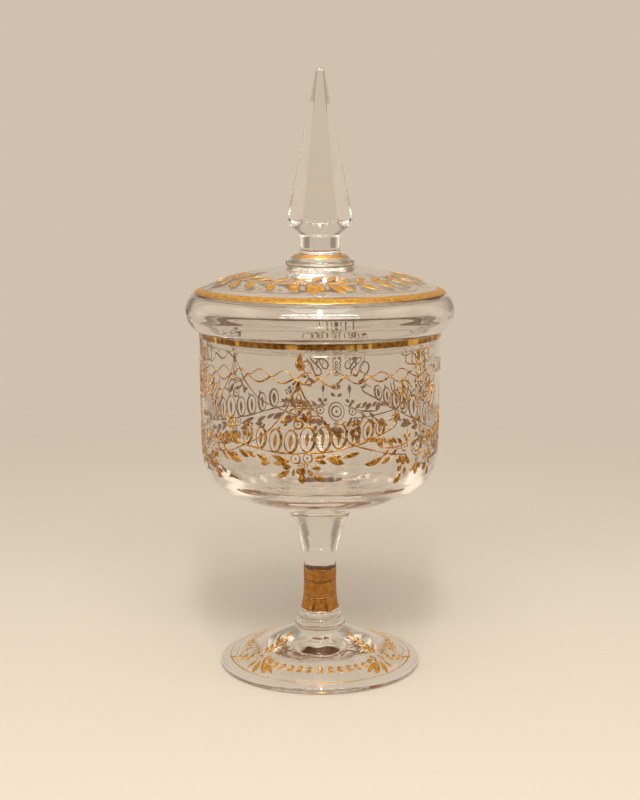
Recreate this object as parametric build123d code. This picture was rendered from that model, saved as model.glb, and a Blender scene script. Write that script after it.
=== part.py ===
"""A footed glass bonbon jar with a lift-off lid, in millimetres, +Z up.

The origin is the middle of the flat ring that the foot stands on. The jar is blown and cut clear glass: a
spread foot, two beaded rings, a six-sided cut stem and a straight-sided bowl, joined hot into one piece. The
lid is a low dome with a hollow rolled edge and a flange that drops into the bowl, and it carries a knop and a
six-sided spire. Fired gold bands are thin separate solids that lie on the glass.
"""
from build123d import *
import math
import os

# Foot
foot_radius = 55.6
foot_height = 21.0
foot_top_radius = 13.6
foot_edge_thickness = 4.2
foot_slope_radius = 24.0
foot_slope_height = 16.0
foot_spread_radius = 40.0
foot_spread_height = 8.9
foot_tread_width = 5.0
foot_hollow_radius = 12.0
foot_hollow_height = 9.6
pontil_radius = 7.0
pontil_depth = 0.9

# Rings between foot and stem
collar_radius = 14.5
collar_height = 3.5
ring_radius = 12.5
ring_height = 3.3

# Stem
stem_height = 61.2
stem_flange_radius = 11.5
stem_flange_height = 3.4
stem_foot_radius = 10.9
stem_waist_radius = 9.1
stem_waist_height = 26.0
stem_neck_radius = 9.45
stem_neck_height = 36.7
stem_throat_radius = 11.4
stem_throat_height = 45.5
stem_flare_radius = 13.5
stem_flare_height = 51.6
stem_top_radius = 18.2
panel_count = 6
panel_foot_depth = 0.95
panel_waist_depth = 0.85
panel_waist_height = 29.0
panel_wheel_radius = 46.0

# Bowl
bowl_height = 100.8
bowl_wall_radius = 65.3
bowl_wall_start = 38.0
bowl_rim_flare = 0.8
bowl_wall_thickness = 2.7
bowl_floor_thickness = 15.0
bowl_base_slope = 0.24
lip_round = 0.5
# Each point is a share of the wall's radius and of the height over which the bowl's side turns up
bowl_outside_shares = ((0.551, 0.155), (0.735, 0.271), (0.873, 0.418), (0.959, 0.616))
bowl_inside_shares = ((0.415, 0.022), (0.735, 0.11), (0.871, 0.27), (0.958, 0.57))

# Lid
lid_clearance = 0.8
flange_thickness = 2.2
flange_depth = 7.5
flange_round = 0.9
roll_height = 20.8
roll_swell = 5.7
roll_overhang = 1.6
roll_thickness = 3.0
dome_edge_inset = 7.5
dome_top_height = 33.6
dome_thickness = 3.2
# Each point is a share of the dome's edge radius and of its rise above that edge
dome_outside_shares = ((0.561, 0.781), (0.835, 0.392))

# Knop and spire
knop_radius = 18.8
knop_height = 7.0
knop_top_radius = 13.4
knop_edge_height = 4.6
spire_height = 99.6
spire_foot_radius = 12.2
spire_neck_radius = 10.9
spire_neck_height = 5.6
spire_neck_length = 3.6
spire_shoulder_radius = 17.7
spire_shoulder_height = 19.4
spire_throat_radius = 15.0
spire_throat_height = 14.0
spire_tip_radius = 3.0
spire_tip_round = 2.9
spire_facets = 6
spire_facet_depth = 2.3
spire_tip_facet_depth = 0.4

# Fired gold
gold_thickness = 0.15
rim_band_width = 3.0
rim_band_drop = 0.5
edge_line_width = 3.0
knop_line_width = 3.0
knop_line_inset = 1.0
stem_band_start = 0.5
stem_band_widths = (7.7, 8.4, 5.9)
stem_band_gap = 0.6

# Heights of the joints between the pieces
collar_z = foot_height
ring_z = collar_z + collar_height
stem_z = ring_z + ring_height
bowl_z = stem_z + stem_height
rim_z = bowl_z + bowl_height
dome_z = rim_z + dome_top_height
spire_z = dome_z + knop_height


# Radii that follow from the bowl's wall: the lip, and the lid's rolled edge that sits on it
bowl_rim_radius = bowl_wall_radius + bowl_rim_flare
roll_seat_radius = bowl_rim_radius + roll_overhang
roll_radius = roll_seat_radius + roll_swell
dome_edge_radius = roll_radius - dome_edge_inset


def turned(*outline):
    """Revolves a closed outline, drawn in radius and height, about the upright axis."""
    return revolve(Plane.XZ * make_face(Curve() + [*outline]), Axis.Z)


def bead_disc(radius, height, z):
    """A solid glass disc with a full half-round edge."""
    half = height / 2
    core = radius - half
    return turned(
        Line((0, z), (core, z)),
        ThreePointArc((core, z), (radius, z + half), (core, z + height)),
        Line((core, z + height), (0, z + height)),
        Line((0, z + height), (0, z)),
    )


def foot():
    """The spread foot: a flared disc, hollow below, that stands on a narrow ground ring."""
    edge = foot_edge_thickness / 2
    rim = foot_radius - edge
    tread = rim - foot_tread_width
    slope = Spline(
        (foot_top_radius, foot_height),
        (foot_slope_radius, foot_slope_height),
        (foot_spread_radius, foot_spread_height),
        (rim, foot_edge_thickness),
    )
    pontil_z = foot_hollow_height
    hollow = Spline(
        (tread, 0),
        (foot_spread_radius, foot_spread_height - foot_edge_thickness),
        (foot_hollow_radius, pontil_z),
        tangents=[(-1, 0.6), (-1, 0)],
    )
    return turned(
        Line((0, foot_height), (foot_top_radius, foot_height)),
        slope,
        ThreePointArc((rim, foot_edge_thickness), (foot_radius, edge), (rim, 0)),
        Line((rim, 0), (tread, 0)),
        hollow,
        Line((foot_hollow_radius, pontil_z), (pontil_radius, pontil_z)),
        Spline((pontil_radius, pontil_z), (0, pontil_z + pontil_depth), tangents=[(-1, 0.3), (-1, 0)]),
        Line((0, pontil_z + pontil_depth), (0, foot_height)),
    )


def stem_blank(skin):
    """The stem before it is cut, with its surface moved outwards by skin."""
    flange_top = stem_z + stem_flange_height
    waist_z = stem_z + stem_waist_height
    half = stem_flange_height / 2
    core = stem_flange_radius - half
    top = stem_z + stem_height
    side = Spline(
        (stem_foot_radius + skin, flange_top),
        (stem_waist_radius + skin, waist_z),
        (stem_neck_radius + skin, stem_z + stem_neck_height),
        (stem_throat_radius + skin, stem_z + stem_throat_height),
        (stem_flare_radius + skin, stem_z + stem_flare_height),
        (stem_top_radius + skin, top),
        tangents=[(-0.28, 1), (0.5, 1)],
    )
    return turned(
        Line((0, stem_z), (core, stem_z)),
        ThreePointArc((core, stem_z), (stem_flange_radius, stem_z + half), (core, flange_top)),
        Line((core, flange_top), (stem_foot_radius + skin, flange_top)),
        side,
        Line((stem_top_radius + skin, top), (0, top)),
        Line((0, top), (0, stem_z)),
    )


def panel_cutters(skin):
    """The wheels that cut the stem's panels: straight below the waist, one long arc above it."""
    far = stem_top_radius * 2
    low_z = stem_z + stem_flange_height
    low = stem_foot_radius - panel_foot_depth + skin
    waist_z = stem_z + panel_waist_height
    waist = stem_waist_radius - panel_waist_depth + skin
    wheel = panel_wheel_radius
    reach = math.sqrt(wheel**2 - (wheel - far + waist) ** 2)
    middle = reach / 2
    cut = Curve() + [
        Line((low, low_z), (waist, waist_z)),
        ThreePointArc(
            (waist, waist_z),
            (waist + wheel - math.sqrt(wheel**2 - middle**2), waist_z + middle),
            (far, waist_z + reach),
        ),
        Line((far, waist_z + reach), (far, low_z)),
        Line((far, low_z), (low, low_z)),
    ]
    blade = extrude(Plane.XZ * make_face(cut), far, both=True)
    step = 360 / panel_count
    return [Rot(0, 0, step * (k + 0.5)) * blade for k in range(panel_count)]


def cut_stem(skin=0.0):
    """The stem with its panels cut, with its surface moved outwards by skin."""
    return stem_blank(skin) - panel_cutters(skin)


def stem_gilding():
    """Three gold tiers round the lower stem, parted by narrow lines of bare glass."""
    sleeve = cut_stem(gold_thickness) - cut_stem()
    tiers = []
    low = stem_z + stem_flange_height + stem_band_start
    for width in stem_band_widths:
        slab = Pos(0, 0, low + width / 2) * Cylinder(stem_top_radius, width)
        tiers.append(sleeve & slab)
        low += width + stem_band_gap
    return Compound([tier.solid() for tier in tiers])


def scaled(curve, radius, low_z, high_z):
    """The points of a curve given as shares of a radius and of the height from low_z to high_z."""
    return [(radius * across, low_z + (high_z - low_z) * up) for across, up in curve]


def bowl():
    """The bowl: near-upright walls, a rounded belly and a thick floor."""
    wall_z = bowl_z + bowl_wall_start
    floor_z = bowl_z + bowl_floor_thickness
    lean = bowl_rim_flare / (bowl_height - bowl_wall_start)
    inner_wall = bowl_wall_radius - bowl_wall_thickness
    inner_rim = bowl_rim_radius - bowl_wall_thickness
    outer = Spline(
        (stem_top_radius, bowl_z),
        *scaled(bowl_outside_shares, bowl_wall_radius, bowl_z, wall_z),
        (bowl_wall_radius, wall_z),
        tangents=[(1, bowl_base_slope), (lean, 1)],
    )
    inner = Spline(
        (inner_wall, wall_z),
        *scaled(bowl_inside_shares, inner_wall, floor_z, wall_z)[::-1],
        (0, floor_z),
        tangents=[(-lean, -1), (-1, 0)],
    )
    shell = turned(
        Line((0, bowl_z), (stem_top_radius, bowl_z)),
        outer,
        Line((bowl_wall_radius, wall_z), (bowl_rim_radius, rim_z)),
        Line((bowl_rim_radius, rim_z), (inner_rim, rim_z)),
        Line((inner_rim, rim_z), (inner_wall, wall_z)),
        inner,
        Line((0, floor_z), (0, bowl_z)),
    )
    lip = shell.edges().filter_by(GeomType.CIRCLE).group_by(Axis.Z)[-1]
    return fillet(lip, lip_round)


def bowl_wall_at(z):
    """The outer radius of the bowl's straight wall at height z."""
    wall_z = bowl_z + bowl_wall_start
    share = (z - wall_z) / (rim_z - wall_z)
    return bowl_wall_radius + bowl_rim_flare * share


def rim_gilding():
    """The gold band round the bowl, close under the lip."""
    high = rim_z - rim_band_drop
    low = high - rim_band_width
    inner = [(bowl_wall_at(low), low), (bowl_wall_at(high), high)]
    outer = [(r + gold_thickness, z) for r, z in inner]
    return turned(Polyline(inner[0], outer[0], outer[1], inner[1], inner[0]))


# The round that the lid's rolled edge follows, and where the dome meets it
roll_rise = roll_height / 2
roll_round = (roll_rise**2 + roll_swell**2) / (2 * roll_swell)
roll_centre = roll_radius - roll_round
roll_centre_z = rim_z + roll_rise
dome_edge_angle = math.acos((dome_edge_radius - roll_centre) / roll_round)
dome_edge_z = roll_centre_z + roll_round * math.sin(dome_edge_angle)


def on_roll(angle, inset=0.0):
    """The point of the rolled edge at an angle above level, moved in towards the roll's middle by inset."""
    reach = roll_round - inset
    return (roll_centre + reach * math.cos(angle), roll_centre_z + reach * math.sin(angle))


def dome_line(drop, end):
    """The dome's line from its flat crown out to the point end on the roll, lowered by drop."""
    return Spline(
        (knop_radius, dome_z - drop),
        *scaled(dome_outside_shares, dome_edge_radius, dome_edge_z - drop, dome_z - drop),
        end,
        tangents=[(1, -0.06), (math.sin(dome_edge_angle), -math.cos(dome_edge_angle))],
    )


def lid():
    """The lid: a low dome, a hollow rolled edge that sits on the bowl, and a flange inside the bowl."""
    flange_outer = bowl_rim_radius - bowl_wall_thickness - lid_clearance
    flange_inner = flange_outer - flange_thickness
    flange_z = rim_z - flange_depth
    low = on_roll(math.radians(-60), roll_thickness)
    side = on_roll(0, roll_thickness)
    high = on_roll(dome_edge_angle, roll_thickness)
    crown = (knop_radius, dome_z - dome_thickness)
    shell = turned(
        Line((0, dome_z), (knop_radius, dome_z)),
        dome_line(0, on_roll(dome_edge_angle)),
        ThreePointArc(on_roll(dome_edge_angle), on_roll(0), (roll_seat_radius, rim_z)),
        Line((roll_seat_radius, rim_z), (flange_outer, rim_z)),
        Line((flange_outer, rim_z), (flange_outer, flange_z)),
        Line((flange_outer, flange_z), (flange_inner, flange_z)),
        Line((flange_inner, flange_z), (flange_inner, rim_z)),
        Line((flange_inner, rim_z), low),
        ThreePointArc(low, side, high),
        dome_line(dome_thickness, high),
        Line(crown, (0, dome_z - dome_thickness)),
        Line((0, dome_z - dome_thickness), (0, dome_z)),
    )
    tip = shell.edges().filter_by(GeomType.CIRCLE).group_by(Axis.Z)[0]
    return fillet(tip, flange_round)


def edge_gilding():
    """The gold line where the dome turns into the rolled edge, laid on the roll's own round."""
    sweep = edge_line_width / roll_round
    angles = (dome_edge_angle, dome_edge_angle - sweep / 2, dome_edge_angle - sweep)
    inner = [on_roll(angle) for angle in angles]
    outer = [on_roll(angle, -gold_thickness) for angle in angles]
    return turned(
        ThreePointArc(*inner),
        Line(inner[2], outer[2]),
        ThreePointArc(*outer[::-1]),
        Line(outer[0], inner[0]),
    )


def knop():
    """The knop: a thick round-edged disc on the dome, with a sloped top that carries the spire."""
    edge_z = dome_z + knop_edge_height
    half = knop_edge_height / 2
    base = knop_radius - half
    return turned(
        Line((0, dome_z), (base, dome_z)),
        ThreePointArc((base, dome_z), (knop_radius, dome_z + half), (base, edge_z)),
        Line((base, edge_z), (knop_top_radius, spire_z)),
        Line((knop_top_radius, spire_z), (0, spire_z)),
        Line((0, spire_z), (0, dome_z)),
    )


def knop_gilding():
    """The gold line on the knop's sloped top."""
    low = (knop_radius - knop_edge_height / 2, dome_z + knop_edge_height)
    high = (knop_top_radius, spire_z)
    length = math.dist(low, high)
    along = ((high[0] - low[0]) / length, (high[1] - low[1]) / length)
    out = (along[1] * gold_thickness, -along[0] * gold_thickness)
    end = min(length, knop_line_width)
    start = max(0.0, min(knop_line_inset, length - end))
    inner = [(low[0] + along[0] * s, low[1] + along[1] * s) for s in (start, min(length, start + end))]
    outer = [(r + out[0], z + out[1]) for r, z in inner]
    return turned(Polyline(inner[0], outer[0], outer[1], inner[1], inner[0]))


def spire():
    """The spire: a waisted neck, a round shoulder and a long cone, cut to six flat sides."""
    neck_z = spire_z + spire_neck_height
    neck_top = neck_z + spire_neck_length
    shoulder_z = spire_z + spire_shoulder_height
    tip_z = spire_z + spire_height
    cone_top = tip_z - spire_tip_round
    rise = cone_top - shoulder_z
    narrowing = spire_shoulder_radius - spire_tip_radius
    blank = turned(
        Line((0, spire_z), (spire_foot_radius, spire_z)),
        Spline(
            (spire_foot_radius, spire_z),
            (spire_neck_radius, neck_z),
            tangents=[(-1, 1), (0, 1)],
        ),
        Line((spire_neck_radius, neck_z), (spire_neck_radius, neck_top)),
        Spline(
            (spire_neck_radius, neck_top),
            (spire_throat_radius, spire_z + spire_throat_height),
            (spire_shoulder_radius, shoulder_z),
            tangents=[(0, 1), (-narrowing, rise)],
        ),
        Line((spire_shoulder_radius, shoulder_z), (spire_tip_radius, cone_top)),
        Spline(
            (spire_tip_radius, cone_top),
            (0, tip_z),
            tangents=[(-narrowing, rise), (-1, 0)],
        ),
        Line((0, tip_z), (0, spire_z)),
    )
    wide = spire_shoulder_radius - spire_facet_depth
    slim = spire_tip_radius - spire_tip_facet_depth
    taper = (wide - slim) / rise
    low_z, high_z = spire_z, tip_z + spire_tip_round
    low_apothem = wide + taper * (shoulder_z - low_z)
    high_apothem = max(slim / 2, wide - taper * (high_z - shoulder_z))
    sections = [
        Pos(0, 0, z) * RegularPolygon(apothem, spire_facets, major_radius=False)
        for apothem, z in ((low_apothem, low_z), (high_apothem, high_z))
    ]
    return blank & loft(sections)


nodes = {
    "foot": foot(),
    "foot_collar": bead_disc(collar_radius, collar_height, collar_z),
    "stem_ring": bead_disc(ring_radius, ring_height, ring_z),
    "stem": cut_stem(),
    "stem_gilding": stem_gilding(),
    "bowl": bowl(),
    "rim_gilding": rim_gilding(),
    "lid": lid(),
    "lid_edge_gilding": edge_gilding(),
    "knop": knop(),
    "knop_gilding": knop_gilding(),
    "spire": spire(),
}

os.makedirs("parts", exist_ok=True)
for name, shape in nodes.items():
    export_step(shape, f"parts/{name}.step")
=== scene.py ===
"""Looks of a footed glass bonbon jar with a lift-off lid, painted with fired gold.

Sizes are in millimetres and become metres when a mesh is made. Round pieces are a profile of radius and
height carried round the upright axis. An angle of 0 is the front, -Y, and grows towards +X.
"""

import bpy
import math
import numpy as np
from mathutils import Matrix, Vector


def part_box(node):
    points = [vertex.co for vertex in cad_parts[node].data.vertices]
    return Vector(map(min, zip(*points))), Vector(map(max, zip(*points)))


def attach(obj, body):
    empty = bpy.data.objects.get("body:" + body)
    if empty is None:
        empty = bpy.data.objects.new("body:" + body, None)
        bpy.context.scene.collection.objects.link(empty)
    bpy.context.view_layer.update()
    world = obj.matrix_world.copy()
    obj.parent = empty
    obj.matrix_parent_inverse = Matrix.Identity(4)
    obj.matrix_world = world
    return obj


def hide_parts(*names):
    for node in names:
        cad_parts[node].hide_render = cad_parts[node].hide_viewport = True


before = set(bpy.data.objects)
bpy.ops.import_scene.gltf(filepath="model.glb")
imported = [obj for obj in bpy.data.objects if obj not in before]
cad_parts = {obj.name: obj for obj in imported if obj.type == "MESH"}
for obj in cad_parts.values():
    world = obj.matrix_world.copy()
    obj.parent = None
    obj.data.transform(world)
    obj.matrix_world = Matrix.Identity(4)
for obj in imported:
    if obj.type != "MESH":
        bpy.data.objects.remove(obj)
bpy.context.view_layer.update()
MM = 0.001
TURN = 2 * math.pi


def node_span(node):
    """Lowest and highest z of a CAD node, in millimetres."""
    low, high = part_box(node)
    return low[2] / MM, high[2] / MM


def node_radius(node):
    """Widest radius of a CAD node about the axis, read along X, in millimetres."""
    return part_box(node)[1][0] / MM


def turned(r, angle, z):
    """Points at radius r, an angle from the front and height z: x is r sin, y is minus r cos."""
    return np.stack(np.broadcast_arrays(r * np.sin(angle), -r * np.cos(angle), z), -1)


# Curves: whole arrays of points, worked out from a few driving points


def smooth(points, count, start=None, end=None):
    """A cubic spline through the points, its ends along start and end where given.

    The heading at each point is solved so that the curvature runs on evenly from one piece to the next.
    """
    p = np.array(points, float)
    step = np.maximum(np.linalg.norm(np.diff(p, axis=0), axis=1), 1e-6)
    slope = np.diff(p, axis=0) / step[:, None]
    n = len(p)
    system = np.zeros((n, n))
    right = np.zeros_like(p)
    for i in range(1, n - 1):
        system[i, i - 1 : i + 2] = 1 / step[i - 1], 2 / step[i - 1] + 2 / step[i], 1 / step[i]
        right[i] = 3 * (slope[i - 1] / step[i - 1] + slope[i] / step[i])
    for i, j, k, direction in ((0, 1, 0, start), (n - 1, n - 2, n - 2, end)):
        if direction is None:
            system[i, i], system[i, j] = 2, 1
            right[i] = 3 * slope[k]
        else:
            system[i, i] = 1
            right[i] = np.array(direction) / np.linalg.norm(direction)
    heading = np.linalg.solve(system, right)
    along = np.concatenate([[0], np.cumsum(step)])
    t = np.linspace(0, along[-1], count)
    k = np.clip(np.searchsorted(along, t, side="right") - 1, 0, n - 2)
    h = step[k][:, None]
    u = (t - along[k])[:, None] / h
    return (
        (1 + 2 * u) * (1 - u) ** 2 * p[k]
        + u * (1 - u) ** 2 * h * heading[k]
        + u**2 * (3 - 2 * u) * p[k + 1]
        + u**2 * (u - 1) * h * heading[k + 1]
    )


def arc(centre, radius, start, end, count):
    """Points on a round from one angle to another, in degrees above level."""
    a = np.radians(np.linspace(start, end, count))
    return np.stack([centre[0] + radius * np.cos(a), centre[1] + radius * np.sin(a)], 1)


def straight(a, b, count):
    """Evenly spaced points from a to b."""
    return np.linspace(a, b, count)


def joined(*runs):
    """One run of points from several, without the doubled points where they meet."""
    p = np.concatenate(runs)
    keep = np.concatenate([[True], np.linalg.norm(np.diff(p, axis=0), axis=1) > 1e-4])
    return p[keep]


def ring_at(p, z, r):
    """The number of a profile's first point that is up at z and no wider than r."""
    return int(np.argmax((p[:, 1] >= z - 1e-6) & (p[:, 0] <= r + 1e-6)))


def outward(p):
    """Unit normals of a profile with its solid on the left: its heading turned a quarter right."""
    along = np.gradient(p, axis=0)
    normal = np.stack([along[:, 1], -along[:, 0]], 1)
    return normal / np.linalg.norm(normal, axis=1)[:, None]


def rings(p, around, swell=None):
    """Carries a profile of radius and height round the axis.

    swell(angle, radius, height) moves a point along the profile's normal by its value. It fades to nothing
    over the last 6 mm before the axis.
    """
    angle = np.arange(around) * TURN / around
    r = np.repeat(p[:, :1], around, 1)
    z = np.repeat(p[:, 1:], around, 1)
    if swell is not None:
        normal = outward(p)
        move = swell(angle[None, :], r, z) * np.minimum(1, r / 6)
        r = r + normal[:, :1] * move
        z = z + normal[:, 1:] * move
    return turned(r, angle, z)


# Meshes


def mesh_piece(name, grids, materials, body, nodes, marks=None):
    """Makes one object from grids of points (rings, around, xyz), each skinned with outward faces.

    Each grid comes with True if its last ring joins its first. A ring on the axis becomes one point. marks
    gives the rings where the material changes, as (ring, material index), and the edge there stays sharp.
    """
    verts, faces, slots, sharp = [], [], [], []
    base = 0
    for grid, loop in grids:
        count, around = grid.shape[:2]
        pole = np.linalg.norm(grid - grid[:, :1], axis=2).max(1) < 1e-6
        size = np.where(pole, 1, around)
        first = base + np.concatenate([[0], np.cumsum(size)[:-1]])
        index = first[:, None] + np.where(pole, 0, 1)[:, None] * np.arange(around)[None, :]
        verts.append(np.concatenate([grid[i, : size[i]] for i in range(count)]))
        follow = np.roll(index, -1, axis=1)
        rows = list(range(count if loop else count - 1))
        change = dict(marks or [])
        material = 0
        for i in rows:
            material = change.get(i, material)
            k = (i + 1) % count
            quad = np.stack([index[i], follow[i], follow[k], index[k]], 1)
            if pole[i]:
                quad = quad[:, [0, 2, 3]]
            elif pole[k]:
                quad = quad[:, [0, 1, 2]]
            faces += quad.tolist()
            slots += [material] * around
            if i in change and (loop or i > 0):
                sharp.append(np.sort(np.stack([index[i], follow[i]], 1), 1))
        base += int(size.sum())
    mesh = bpy.data.meshes.new(name)
    mesh.from_pydata((np.concatenate(verts) * MM).tolist(), [], faces)
    for material in materials:
        mesh.materials.append(material)
    mesh.polygons.foreach_set("material_index", np.array(slots, np.int32))
    mesh.shade_smooth()
    if sharp:
        ends = np.empty(len(mesh.edges) * 2, np.int64)
        mesh.edges.foreach_get("vertices", ends)
        ends = np.sort(ends.reshape(-1, 2), 1)
        wanted = np.concatenate(sharp)
        code = ends[:, 0] * base + ends[:, 1]
        is_sharp = np.isin(code, wanted[:, 0] * base + wanted[:, 1])
        mesh.attributes.new("sharp_edge", "BOOLEAN", "EDGE").data.foreach_set("value", is_sharp)
    mesh.update()
    piece = bpy.data.objects.new(name, mesh)
    bpy.context.scene.collection.objects.link(piece)
    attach(piece, body)
    if nodes:
        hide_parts(*nodes)
    return piece


# Finishes


class Value:
    """A shader socket that takes part in sums: each operator adds a Math node."""

    def __init__(self, nodes, socket):
        self.nodes = nodes
        self.socket = socket

    def maths(self, operation, *others):
        """Adds a Math node that works on this value and the others."""
        inputs = dict(enumerate((self, *others)))
        return self.nodes.node("ShaderNodeMath", {"operation": operation}, inputs)

    def __add__(self, other):
        return self.maths("ADD", other)

    def __mul__(self, other):
        return self.maths("MULTIPLY", other)

    def __sub__(self, other):
        return self.maths("SUBTRACT", other)

    def __rsub__(self, other):
        return self.nodes.node("ShaderNodeMath", {"operation": "SUBTRACT"}, {0: other, 1: self})

    def __pow__(self, other):
        return self.maths("POWER", other)

    __radd__ = __add__
    __rmul__ = __mul__

    def clamped(self):
        """Held between 0 and 1."""
        return self.maths("MINIMUM", 1.0).maths("MAXIMUM", 0.0)

    def stepped(self, low, high):
        """0 below low, 1 above high, and a soft step between."""
        settings = {"interpolation_type": "SMOOTHSTEP"}
        return self.nodes.node("ShaderNodeMapRange", settings, {0: self, 1: low, 2: high})


class Nodes:
    """The shader nodes of a finish or of the studio's surroundings."""

    def __init__(self, tree):
        self.tree = tree
        self.tree.nodes.clear()

    def node(self, kind, settings=None, inputs=None, output=0):
        """Adds a node from its type, its settings, and the values or links of its sockets."""
        made = self.tree.nodes.new(kind)
        for key, value in (settings or {}).items():
            setattr(made, key, value)
        for key, value in (inputs or {}).items():
            if isinstance(value, Value):
                self.tree.links.new(value.socket, made.inputs[key])
            else:
                made.inputs[key].default_value = value
        return Value(self, made.outputs[output])

    def split(self, vector, axis):
        """One axis of a vector."""
        return self.node("ShaderNodeSeparateXYZ", {}, {"Vector": vector}, output=axis)

    def rays(self):
        """Three masks, for rays from the lens, rays through glass and mirrored rays."""
        kinds = ("Is Camera Ray", "Is Transmission Ray", "Is Glossy Ray")
        return [self.node("ShaderNodeLightPath", output=kind) for kind in kinds]

    def end_with(self, kind, shader):
        """Links a shader to the tree's output node."""
        end = self.tree.nodes.new(kind)
        self.tree.links.new(shader.socket, end.inputs["Surface"])


class Finish(Nodes):
    """A procedural material on Object coordinates, in metres."""

    def __init__(self, name):
        self.material = bpy.data.materials.new(name)
        self.material.use_nodes = True
        super().__init__(self.material.node_tree)
        self.place = self.node("ShaderNodeTexCoord", output="Object")

    def noise(self, scale, detail=2.0, rough=0.5, stretch=(1, 1, 1)):
        """Soft noise from 0 to 1, scale counts per metre; a small stretch draws it out along that axis."""
        place = self.node("ShaderNodeMapping", {}, {"Vector": self.place, "Scale": stretch})
        settings = {"noise_dimensions": "3D"}
        inputs = {"Vector": place, "Scale": scale, "Detail": detail, "Roughness": rough}
        return self.node("ShaderNodeTexNoise", settings, inputs)

    def blend(self, share, a, b):
        """Colour a where share is 0 and b where it is 1."""
        return self.node("ShaderNodeMix", {"data_type": "RGBA"}, {0: share, 6: a, 7: b}, output=2)

    def bump(self, height, strength, distance):
        inputs = {"Height": height, "Strength": strength, "Distance": distance}
        return self.node("ShaderNodeBump", {}, inputs)

    def surface(self, **sockets):
        """Ends the material with a Principled shader; socket names are written with _ for spaces."""
        inputs = {key.replace("_", " "): value for key, value in sockets.items()}
        self.end_with("ShaderNodeOutputMaterial", self.node("ShaderNodeBsdfPrincipled", {}, inputs))
        return self.material


def colour(red, green, blue):
    """A colour written in 0 to 255 as a screen shows it, turned linear."""
    c = np.array([red, green, blue]) / 255
    c = np.where(c <= 0.04045, c / 12.92, ((c + 0.055) / 1.055) ** 2.4)
    return (*c.tolist(), 1.0)


def clear_glass(name, tint, haze_scale, wave_scale, wave):
    """Fire-polished clear glass: faint haze where it has been handled and slow waves from blowing.

    The scales are counts per metre and wave is a height in metres. Glass seen along its surface is darker:
    a painted shade at its edges, standing in for dark surroundings bent in by the glass.
    """
    f = Finish(name)
    haze = f.noise(haze_scale, 4.0).stepped(0.45, 0.75)
    specks = f.noise(2600, 1.0).stepped(0.74, 0.8)
    waves = f.noise(wave_scale, 1.0, stretch=(1, 1, 0.45))
    # Painted shade: where the surface is seen edge-on, its colour darkens to 0.7 of the tint.
    facing = f.node("ShaderNodeLayerWeight", {}, {"Blend": 0.5}, output="Facing")
    edge = facing.stepped(0.86, 1.0)
    painted_edge_shade = tuple(c * 0.7 for c in tint[:3]) + (1.0,)
    return f.surface(
        Base_Color=f.blend(edge, tint, painted_edge_shade),
        Roughness=haze * 0.018 + specks * 0.05,
        Normal=f.bump(waves, 1.0, wave),
        Transmission_Weight=1.0,
        IOR=1.5,
    )


def hot_joint():
    """The face where two pieces of glass were joined hot: there is nothing to see."""
    f = Finish("hot_joint")
    return f.surface(Base_Color=(1, 1, 1, 1), Alpha=0.0, Transmission_Weight=1.0, IOR=1.5)


def seen_from_behind():
    """The back of fired gold, seen through the glass: dull brown, a little uneven."""
    f = Finish("gold_seen_through_glass")
    share = f.noise(260, 3.0, 0.6).stepped(0.35, 0.65)
    tone = f.blend(share, colour(172, 130, 94), colour(212, 168, 126))
    return f.surface(Base_Color=tone, Metallic=1.0, Roughness=0.42 + share * 0.1)


def fired_gold(name, thin, thick, brush_scale, brush_depth, roughness, reflection_stripes=0):
    """Fired gold: brown where the brush left it thin, yellow where it lies thick, with fine burnishing.

    The last argument, in counts per metre, gives a wheel-laid band upright patches of yellow and brown:
    painted reflections that stand in for the bright and dark room mirrored in the band.
    """
    f = Finish(name)
    body = f.noise(420, 3.0, 0.6)
    fine = f.noise(brush_scale, 3.0, 0.65, stretch=(1, 1, 0.35))
    pits = f.noise(3600, 1.0).stepped(0.70, 0.78)
    share = (body * 0.7 + fine * 0.3).stepped(0.36, 0.64)
    # Painted reflection: upright patches lighten and darken the band's gold in place of the room mirrored
    # in it.
    if reflection_stripes:
        painted_reflection = f.noise(reflection_stripes, 2.0, 0.7, stretch=(1, 1, 0.02)).stepped(0.5, 0.56)
        share = (share * 0.35 + painted_reflection * 0.75).clamped()
    height = fine * 0.6 + body * 0.4 - pits * 0.5
    return f.surface(
        Base_Color=f.blend(share, thin, thick),
        Metallic=1.0 - pits * 0.35,
        Roughness=roughness + fine * 0.16 + pits * 0.2,
        Normal=f.bump(height, 0.6, brush_depth),
    )


glass_tint = colour(247, 244, 240)
thick_tint = colour(243, 243, 236)
blown = clear_glass("blown_glass", glass_tint, 34, 30, 0.0007)
thick = clear_glass("thick_glass", thick_tint, 30, 34, 0.0005)
cut = clear_glass("cut_glass", glass_tint, 60, 60, 0.0002)
joint = hot_joint()
gold_paint = fired_gold("painted_gold", colour(126, 74, 26), colour(246, 184, 94), 1500, 0.00012, 0.2)
gold_bright = fired_gold("bright_gold", colour(214, 150, 58), colour(246, 198, 100), 1300, 0.0001, 0.28)
gold_band = fired_gold("banded_gold", colour(120, 74, 30), colour(248, 196, 104), 500, 0.00005, 0.12, 80)
gold_stem = fired_gold("stem_band_gold", colour(172, 114, 52), colour(204, 144, 72), 300, 0.00003, 0.1)
gold_behind = seen_from_behind()


# Heights and radii that come from the CAD nodes

foot_top = node_span("foot")[1]
collar_low, collar_high = node_span("foot_collar")
ring_low, ring_high = node_span("stem_ring")
stem_low, stem_high = node_span("stem")
bowl_low, rim = node_span("bowl")
dome_top, spire_low = node_span("knop")
tip = node_span("spire")[1]
foot_radius = node_radius("foot")
collar_radius = node_radius("foot_collar")
ring_radius = node_radius("stem_ring")
bowl_radius = node_radius("bowl")
roll_radius = node_radius("lid")
knop_radius = node_radius("knop")

# Radii of the faces where two pieces of glass were joined hot

foot_joint = 12.7
collar_joint = 10.8
stem_joint = 9.8
spire_joint = 12.0


# Foot

foot_edge = 2.1
foot_shoulder = 13.4
hollow_top = 9.6


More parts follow.
